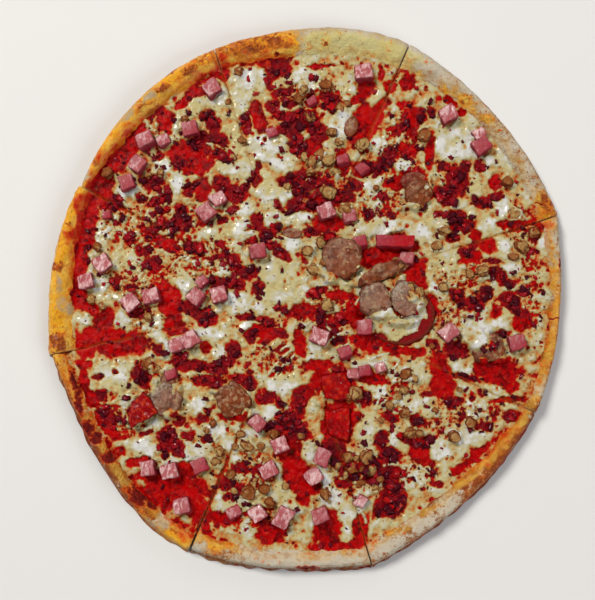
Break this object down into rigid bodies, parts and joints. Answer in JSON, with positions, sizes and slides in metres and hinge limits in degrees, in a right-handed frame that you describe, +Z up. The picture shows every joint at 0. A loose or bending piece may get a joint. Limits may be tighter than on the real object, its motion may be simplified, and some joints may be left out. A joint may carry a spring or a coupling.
{
  "type": "meat pizza",
  "caption": "Round pizza with a raised browned crust, tomato sauce, melted cheese, ham dice, sausage, bacon bits and red pepper, cut into slices that still lie together.",
  "frame": {"origin": "on the surface the pizza rests on, under the middle of the pizza's outline", "axes": "+Z up out of the toppings; +X to the right and +Y away from a viewer who looks down on the pizza as in the picture; the cuts cross about 7 mm to the left of the origin"},
  "size_m": [0.3449, 0.3658, 0.0178],
  "materials": {
    "crust": "baked wheat dough, matt, floury in places, with browned and charred spots and an oily orange inner edge; leather stands in for it",
    "sauce_and_cheese": "melted mozzarella over red tomato sauce with baked-in sausage crumbles and bacon bits, moist; gloss plastic stands in for it",
    "ham": "cooked pink ham, moist, slightly fibrous; gloss plastic stands in for it",
    "sausage": "cooked grey-brown sausage with pale fat specks, greasy; matte plastic stands in for it",
    "red_pepper": "soft baked red pepper, wet; gloss plastic stands in for it",
    "pepperoni": "dark red pepperoni, oily; gloss plastic stands in for it"
  },
  "bodies": {
    "root": {"crust_1": "crust", "crust_2": "crust", "crust_3": "crust", "crust_4": "crust", "crust_5": "crust", "crust_6": "crust", "crust_7": "crust", "crust_8": "crust", "ham_die_01": "ham", "ham_die_02": "ham", "ham_die_03": "ham", "ham_die_04": "ham", "ham_die_05": "ham", "ham_die_06": "ham", "ham_die_07": "ham", "ham_die_08": "ham", "ham_die_09": "ham", "ham_die_10": "ham", "ham_die_11": "ham", "ham_die_12": "ham", "ham_die_13": "ham", "ham_die_14": "ham", "ham_die_15": "ham", "ham_die_16": "ham", "ham_die_17": "ham", "ham_die_18": "ham", "ham_die_19": "ham", "ham_die_20": "ham", "ham_die_21": "ham", "ham_die_22": "ham", "ham_die_23": "ham", "ham_die_24": "ham", "ham_die_25": "ham", "ham_die_26": "ham", "ham_die_27": "ham", "ham_die_28": "ham", "ham_die_29": "ham", "ham_die_30": "ham", "ham_die_31": "ham", "ham_die_32": "ham", "ham_die_33": "ham", "pepper_piece_1": "red_pepper", "pepper_piece_2": "red_pepper", "pepperoni_wedge": "pepperoni", "sausage_slice_1": "sausage", "sausage_slice_2": "sausage", "sausage_slice_3": "sausage", "sausage_slice_4": "sausage", "sausage_slice_5": "sausage", "sausage_slice_6": "sausage", "sausage_slice_7": "sausage", "sausage_slice_8": "sausage", "topping_1": "sauce_and_cheese", "topping_2": "sauce_and_cheese", "topping_3": "sauce_and_cheese", "topping_4": "sauce_and_cheese", "topping_5": "sauce_and_cheese", "topping_6": "sauce_and_cheese", "topping_7": "sauce_and_cheese", "topping_8": "sauce_and_cheese"}
  },
  "joints": []
}
